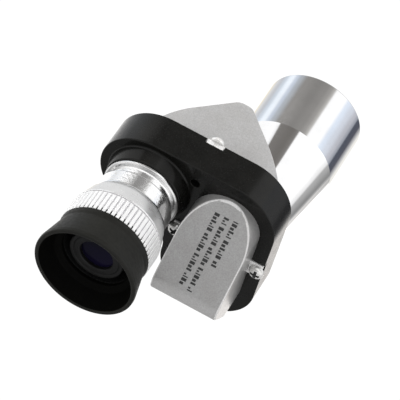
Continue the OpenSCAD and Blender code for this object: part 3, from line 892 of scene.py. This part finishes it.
barrel = revolve(filleted([
    (LIGHT_BORE, PLATE_T - 2.9), (SPIGOT_R, PLATE_T - 2.9, 0.1), (SPIGOT_R, PLATE_T), (CONE_R, PLATE_T),
    (BARREL_R, CYLINDER_Y), (BARREL_R, FRONT_Y, 0.4), (FRONT_BORE, FRONT_Y, 0.25),
    (FRONT_BORE, FRONT_Y - FRONT_DEPTH, 0.08), (LENS_BORE, FRONT_Y - FRONT_DEPTH, 0.08),
    (LENS_BORE, LENS_SEAT_Y), (BAFFLE_BORE, LENS_SEAT_Y), (BAFFLE_BORE, CYLINDER_Y),
    (LIGHT_BORE, PLATE_T + 4)], arc_step=5), evenly(256), (STEP, -STEP), paint=barrel_paint)
finish_mesh(barrel, "barrel_shell", [M_BARREL, M_MATT], "body", ["objective_barrel"],
            7)


# ---------------------------------------------------------------------------------------------
# Eyepiece
# ---------------------------------------------------------------------------------------------
sleeve = revolve(filleted([
    (SLEEVE_BORE, 2.3), (SOCKET_R, 2.3, 0.1), (SOCKET_R, -BOSS_H), (9.45, -BOSS_H, 0.15),
    (FLANGE_R, -BOSS_H - 0.28, 0.2), (FLANGE_R, -BOSS_H - 0.78, 0.2), (9.37, -BOSS_H - 1.08, 0.2),
    (SLEEVE_R, -BOSS_H - 1.13, 0.06), (SLEEVE_R, SLEEVE_END + 0.3), (SLEEVE_R - 0.3, SLEEVE_END),
    (SLEEVE_BORE, SLEEVE_END)]), evenly(192))
finish_mesh(sleeve, "thread_sleeve_body", [M_CHROME], "body", ["thread_sleeve"], 30)

rib_angles = [(2 * math.pi * (i + share) / RIBS, depth) for i in range(RIBS) for share, depth in TOOTH]


def ribbed(r, y, tooth):
    """Cuts the grooves into the grip, running out at its front end."""
    if r < KNURL_R - GROOVE or y > KNURL_FRONT - 0.05 or y < KNURL_BACK - 0.02:
        return r, y
    fade = min(1.0, (KNURL_FRONT - 0.05 - y) / 0.35)
    return min(r, KNURL_R - GROOVE * tooth * fade), y


def toothed(r, y, tooth):
    """Draws the eyecup's front edge out into the grooves."""
    front_edge = y > KNURL_BACK - 0.3 and r > 11.3
    return r, (y + TEETH * min(1.0, 1.8 * tooth) if front_edge else y)


def ring_paint(r, y):
    """0 polished body, 1 satin skirt, 2 ribbed grip, 3 matt inside."""
    if y < KNURL_BACK - 0.05 or r < RUN_R + 0.15:
        return 3
    if y < KNURL_FRONT + 0.02 and r > 10.4:
        return 2
    return 1 if y < RING_FRONT - SKIRT_START and r > RING_BODY_R + 0.06 else 0


def cup_paint(r, y):
    """1 inside the cup, which takes a darker copy of the rubber as painted shade."""
    return 1 if y > CUP_BACK + 0.2 and r < 12.3 + (CUP_BACK - y) * 0.42 and y < -26.4 else 0


knurl_top, knurl_end = KNURL_FRONT - 0.45, KNURL_BACK + 0.15
knurl_line = [(KNURL_R, knurl_top - k * (knurl_top - knurl_end) / KNURL_LEVELS)
              for k in range(KNURL_LEVELS + 1)]
focus_ring = revolve(supported(filleted([
    (RUN_R, RING_FRONT, 0.1), (9.25, RING_FRONT, 0.15), (RING_BODY_R, RING_FRONT - 0.4, 0.25),
    (RING_BODY_R, RING_FRONT - SKIRT_START, 1.2), (10.3, RING_FRONT - 5.5, 0.9),
    (11.5, KNURL_FRONT + 0.7, 0.5), (SKIRT_R, KNURL_FRONT + 0.35, 0.12),
    (SKIRT_R, KNURL_FRONT + 0.08, 0.08), (11.4, KNURL_FRONT - 0.05, 0.06),
    (11.5, KNURL_FRONT - 0.2)] + knurl_line + [
    (KNURL_R - 0.1, KNURL_BACK, 0.05), (CUP_SEAT_R, KNURL_BACK), (CUP_SEAT_R, RING_BACK + 1.4),
    (10.5, RING_BACK + 1.0, 0.1), (10.5, RING_BACK + 0.4, 0.1), (10.0, RING_BACK, 0.1),
    (RUN_R, RING_BACK, 0.1), (RUN_R, -18.6), (7.2, -18.6), (7.2, -18.0), (RUN_R, -18.0)])),
    rib_angles, shape=ribbed, paint=ring_paint)
finish_mesh(focus_ring, "focus_ring_knurled", [M_CHROME, M_SKIRT, M_KNURL, M_MATT], "focus_ring_body",
            ["focus_ring"], 35, even=False)

cup = revolve(supported(filleted([
    (8.7, -26.52, 0.15), (8.7, -27.5, 0.3), (9.9, -28.05, 0.35), (10.25, -28.4, 0.3),
    (LIP_R - 1.25, CUP_BACK + 0.75, 0.4), (LIP_R - 1.0, CUP_BACK, 0.45), (LIP_R - 0.02, CUP_BACK, 0.55),
    (LIP_R, CUP_BACK + 1.1, 0.8), (11.65, -25.7, 1.2), (11.45, -25.0, 0.8), (11.6, -24.3, 0.8),
    (11.66, KNURL_BACK - 0.02, 0.12), (11.35, KNURL_BACK - 0.02, 0.05), (11.3, KNURL_BACK - 0.35),
    (10.22, -23.7), (10.22, -24.95), (10.55, -25.05), (10.55, -26.52)])),
    rib_angles, shape=toothed, paint=cup_paint)
finish_mesh(cup, "eyecup_soft", [M_RUBBER, M_RUBBER_INSIDE_SHADED], "focus_ring_body", ["rubber_eyecup"],
            35, even=False)

tube = revolve(filleted([
    (STOP_BORE, -9.5), (TUBE_BORE, -9.5), (TUBE_BORE, -4), (TUBE_R, -4, 0.1), (TUBE_R, -18.65),
    (TUBE_FLANGE_R, -18.65, 0.1), (TUBE_FLANGE_R, -19.8, 0.1), (TUBE_R, -19.8),
    (TUBE_R, TUBE_BACK, 0.35), (TUBE_BORE, TUBE_BACK, 0.2), (TUBE_BORE, -10.5),
    (STOP_BORE, -10.5)]), evenly(160))
finish_mesh(tube, "lens_tube_body", [M_TUBE], "lens_carrier", ["lens_tube"], 30)

lens_ring = revolve(filleted([
    (EYE_BORE, -26.02), (TUBE_BORE - 0.02, -26.02), (TUBE_BORE - 0.02, -26.95, 0.1),
    (4.4, -26.98, 0.12), (EYE_BORE, -26.8, 0.08)]), evenly(160))
finish_mesh(lens_ring, "eye_lens_ring", [M_TUBE], "lens_carrier", ["eye_retaining_ring"],
            30)

# ---------------------------------------------------------------------------------------------
# CAD nodes that keep their shape
# ---------------------------------------------------------------------------------------------
KEPT = {
    "objective_side_prism": M_GLASS, "eyepiece_side_prism": M_GLASS,
    "objective_side_clip": M_BRONZE, "eyepiece_side_clip": M_BRONZE,
    "objective_crown_lens": M_FRONT_LENS, "objective_flint_lens": M_GLASS,
    "objective_baffle": M_MATT, "objective_retaining_ring": M_TUBE, "guide_pin": M_SCREW,
    "field_stop": M_MATT, "field_lens": M_GLASS, "lens_spacer": M_MATT, "eye_crown_lens": M_GLASS,
    "eye_flint_lens": M_EYE, "thrust_collar": M_TUBE,
}
for node, material in KEPT.items():
    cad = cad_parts[node]
    cad.data.materials.clear()
    cad.data.materials.append(material)

# ---------------------------------------------------------------------------------------------
# Stage: floor, light tent, lamps and camera
# ---------------------------------------------------------------------------------------------
lo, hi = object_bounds()
FLOOR_HALF = 3.0
FLOOR_GAP = 0.0005  # below the object's lowest point
PAPER_WHITE = 1.05  # glow of the floor, and of what the camera sees beyond it
floor_mesh = bpy.data.meshes.new("floor")
floor_mesh.from_pydata([(x * FLOOR_HALF, y * FLOOR_HALF, 0)
                        for x, y in ((-1, -1), (1, -1), (1, 1), (-1, 1))], [], [(0, 1, 2, 3)])
floor = bpy.data.objects.new("floor", floor_mesh)
floor.location = (0, 0, lo.z - FLOOR_GAP)
bpy.context.scene.collection.objects.link(floor)
floor.visible_glossy = False
floor.visible_diffuse = False
paper = Surface("paper")
glow = paper.node("ShaderNodeEmission", {"Color": (1, 1, 1, 1), "Strength": PAPER_WHITE})
paper.put(paper.output, glow.outputs[0])
floor_mesh.materials.append(paper.material)

world = bpy.data.worlds.new("light_tent")
bpy.context.scene.world = world
world.use_nodes = True
sky = Nodes(world.node_tree)


def ring_of_bands(share, stops):
    """Colour ramp over a share of the whole turn, with its stops in degrees from -180 to 180."""
    ramp = sky.node("ShaderNodeValToRGB", {"Fac": share})
    ramp.color_ramp.interpolation = "EASE"
    elements = ramp.color_ramp.elements
    while len(elements) > 1:
        elements.remove(elements[0])
    for i, (angle, tone) in enumerate(stops):
        position = (angle + 180) / 360
        element = elements[0] if i == 0 else elements.new(position)
        element.position = position
        colour = tone if isinstance(tone, tuple) else (tone, tone, tone)
        element.color = (*colour, 1)
    return ramp.outputs["Color"]


def towards(axis):
    """How far a direction points along an axis."""
    return sky.node("ShaderNodeVectorMath", {0: looking, 1: axis},
                    operation="DOT_PRODUCT").outputs["Value"]


def brown(value):
    """The warm dark grey of the band across the barrel's top."""
    return value, value * 0.97, value * 0.93


# Walls of the tent, seen by reflections alone. Each wall is a ring of bands round the Y axis: the
# angle in degrees, 0 at the top and 90 at the right, and the tone there. Before its bands stand the
# depths, as a direction's part along +Y, between which a wall takes over from the one above it.
CREAM = (1.5, 1.44, 1.39)
WALLS = (
    # in front, towards the viewer
    (None, ((-180, 0.36), (-140, 0.36), (-100, 0.5), (-60, 0.7), (-30, 0.4), (0, 0.32), (40, 0.7),
            (90, 0.9), (120, 0.5), (145, 0.36))),
    # overhead
    ((-0.6, -0.5), ((-180, 0.36), (-120, 0.4), (-70, 1.3), (80, 1.3), (110, 0.6), (145, 0.36))),
    # beside the object
    ((-0.3, -0.24), ((-180, 0.4), (-150, 0.6), (-115, 0.8), (-90, 0.5), (-65, 0.42), (-42, 0.5),
                     (-22, 1.0), (6, 1.0), (25, 0.42), (48, 0.32), (74, 0.75), (94, 0.85),
                     (112, 0.42), (130, 0.3), (150, 0.34))),
    # as the barrel's cone sees it
    ((0.22, 0.3), ((-180, 0.9), (-120, 1.0), (-50, 1.12), (-41, 1.0), (-38, (0.21, 0.2, 0.19)),
                   (-10, (0.18, 0.17, 0.16)), (2, (0.22, 0.21, 0.2)), (5, 1.12), (80, 1.18),
                   (94, 0.95), (102, 0.45), (126, 0.28), (132, 0.45), (138, (0.8, 0.78, 0.76)),
                   (170, 0.9))),
    # as the sleeve and the focus ring see it
    ((0.545, 0.575), ((-180, CREAM), (-150, 1.55), (-112, 1.3), (-100, 1.1), (-88, 0.65),
                      (-78, 0.95), (-62, 1.3), (-42, 1.3), (-28, 0.8), (-20, 0.3), (12, 0.34),
                      (20, 1.1), (66, 1.1), (88, 0.9), (104, 0.6), (116, 0.25), (127, 0.08),
                      (140, 0.1), (149, 0.7), (156, CREAM))),
    # as the barrel's cylinder sees it
    ((0.632, 0.645), ((-180, 0.95), (-166, (1.0, 0.97, 0.88)), (-150, (0.92, 0.86, 0.74)),
                      (-136, 0.74), (-118, (0.6, 0.62, 0.66)), (-107, (0.66, 0.72, 0.8)),
                      (-93, (0.95, 1.02, 1.1)), (-87, (0.97, 1.03, 1.1)), (-76, (0.62, 0.68, 0.78)),
                      (-66, (0.46, 0.49, 0.53)), (-50, brown(0.3)), (-20, brown(0.25)),
                      (0, brown(0.28)), (11, brown(0.35)), (18, brown(0.48)),
                      (25, 1.12), (50, 1.15), (62, (0.8, 0.88, 1.0)), (78, (0.7, 0.74, 0.82)),
                      (96, (0.54, 0.55, 0.6)), (107, (0.38, 0.4, 0.45)), (113, (0.09, 0.1, 0.13)),
                      (131, (0.1, 0.105, 0.13)), (137, (0.32, 0.32, 0.34)), (148, 0.62),
                      (158, (0.92, 0.9, 0.86)))),
    # the end, straight behind
    ((0.7, 0.8), ((-180, 0.62), (-60, 0.66), (0, 0.58), (70, 0.7), (130, 0.6))),
)
looking = sky.node("ShaderNodeTexCoord").outputs["Generated"]
direction = sky.node("ShaderNodeSeparateXYZ", {"Vector": looking}).outputs
turn = sky.spread(sky.math("ARCTAN2", direction["X"], direction["Z"]), 0.0, 1.0, -math.pi, math.pi)
for depths, stops in WALLS:
    wall = ring_of_bands(turn, stops)
    walls = sky.mix(sky.spread(direction["Y"], 0.0, 1.0, *depths), walls, wall) if depths else wall
seen = sky.node("ShaderNodeBackground", {"Color": walls, "Strength": 1.0})

# Soft fill for matt surfaces: an even part, a slope towards the right, the objective's side and the
# top, and the light that the table throws up in front.
FILL_EVEN = 0.5
FILL_SLOPE = (0.38, 0.38, 0.19)
TABLE_SIDE = (0.0, -0.95, -0.31)
TABLE_LIGHT = 2.85
table = sky.math("MAXIMUM", towards(TABLE_SIDE), 0.0)
table = sky.math("MULTIPLY", sky.math("MULTIPLY", table, table), TABLE_LIGHT)
amount = sky.math("ADD", sky.math("ADD", towards(FILL_SLOPE), FILL_EVEN), table)
fill = sky.node("ShaderNodeBackground", {"Color": (1, 1, 1, 1), "Strength": amount})

# Reflections see the walls, the camera sees plain white beyond the floor, and the rest is fill
beyond = sky.node("ShaderNodeBackground", {"Color": (1, 1, 1, 1), "Strength": PAPER_WHITE})
path = sky.node("ShaderNodeLightPath")
light = fill
for ray, source in (("Is Glossy Ray", seen), ("Is Camera Ray", beyond)):
    light = sky.node("ShaderNodeMixShader", {
        0: path.outputs[ray], 1: light.outputs[0], 2: source.outputs[0]})
sky.node("ShaderNodeOutputWorld", {"Surface": light.outputs[0]})

middle = (lo + hi) / 2


def soft_lamp(name, offset, size, power):
    """Round lamp at an offset from the object's middle, aimed at it and not reflected."""
    data = bpy.data.lights.new(name, "AREA")
    data.shape = "DISK"
    data.size = size
    data.energy = power
    lamp = bpy.data.objects.new(name, data)
    lamp.location = middle + Vector(offset)
    lamp.rotation_euler = (middle - lamp.location).to_track_quat("-Z", "Y").to_euler()
    lamp.visible_glossy = False
    bpy.context.scene.collection.objects.link(lamp)


soft_lamp("key_above_behind", (-0.15, 0.35, 0.5), 0.35, 3.2)
soft_lamp("fill_left", (-0.6, -0.2, 0.2), 0.4, 1.2)

# Camera on the eyepiece side, to the right and above, turned a little about its own axis
CAMERA_AT = Vector((94.73, -372.98, 459.42))  # from the eyepiece axis, in plate coordinates
CAMERA_TURN = (12.506, 50.739, 18.360)  # azimuth, elevation and roll
CAMERA_LENS = 228.16
CAMERA_SHIFT = (0.0328, 0.0629)
camera_data = bpy.data.cameras.new("camera")
camera_data.lens = CAMERA_LENS
camera_data.sensor_width = 36
camera_data.shift_x, camera_data.shift_y = CAMERA_SHIFT
camera_data.clip_start = 0.01
camera = bpy.data.objects.new("camera", camera_data)
azimuth, elevation, roll = (math.radians(a) for a in CAMERA_TURN)
back = Vector((math.sin(azimuth) * math.cos(elevation), -math.cos(azimuth) * math.cos(elevation),
               math.sin(elevation)))
level = Vector((math.cos(azimuth), math.sin(azimuth), 0))
upright = back.cross(level)
right = level * math.cos(roll) + upright * math.sin(roll)
up = back.cross(right)
axes = Matrix((right, up, back)).transposed().to_4x4()
camera.matrix_world = Matrix.Translation(ORIGIN + CAMERA_AT * MM) @ axes
bpy.context.scene.collection.objects.link(camera)
bpy.context.scene.camera = camera
bpy.context.scene.view_settings.view_transform = "Standard"
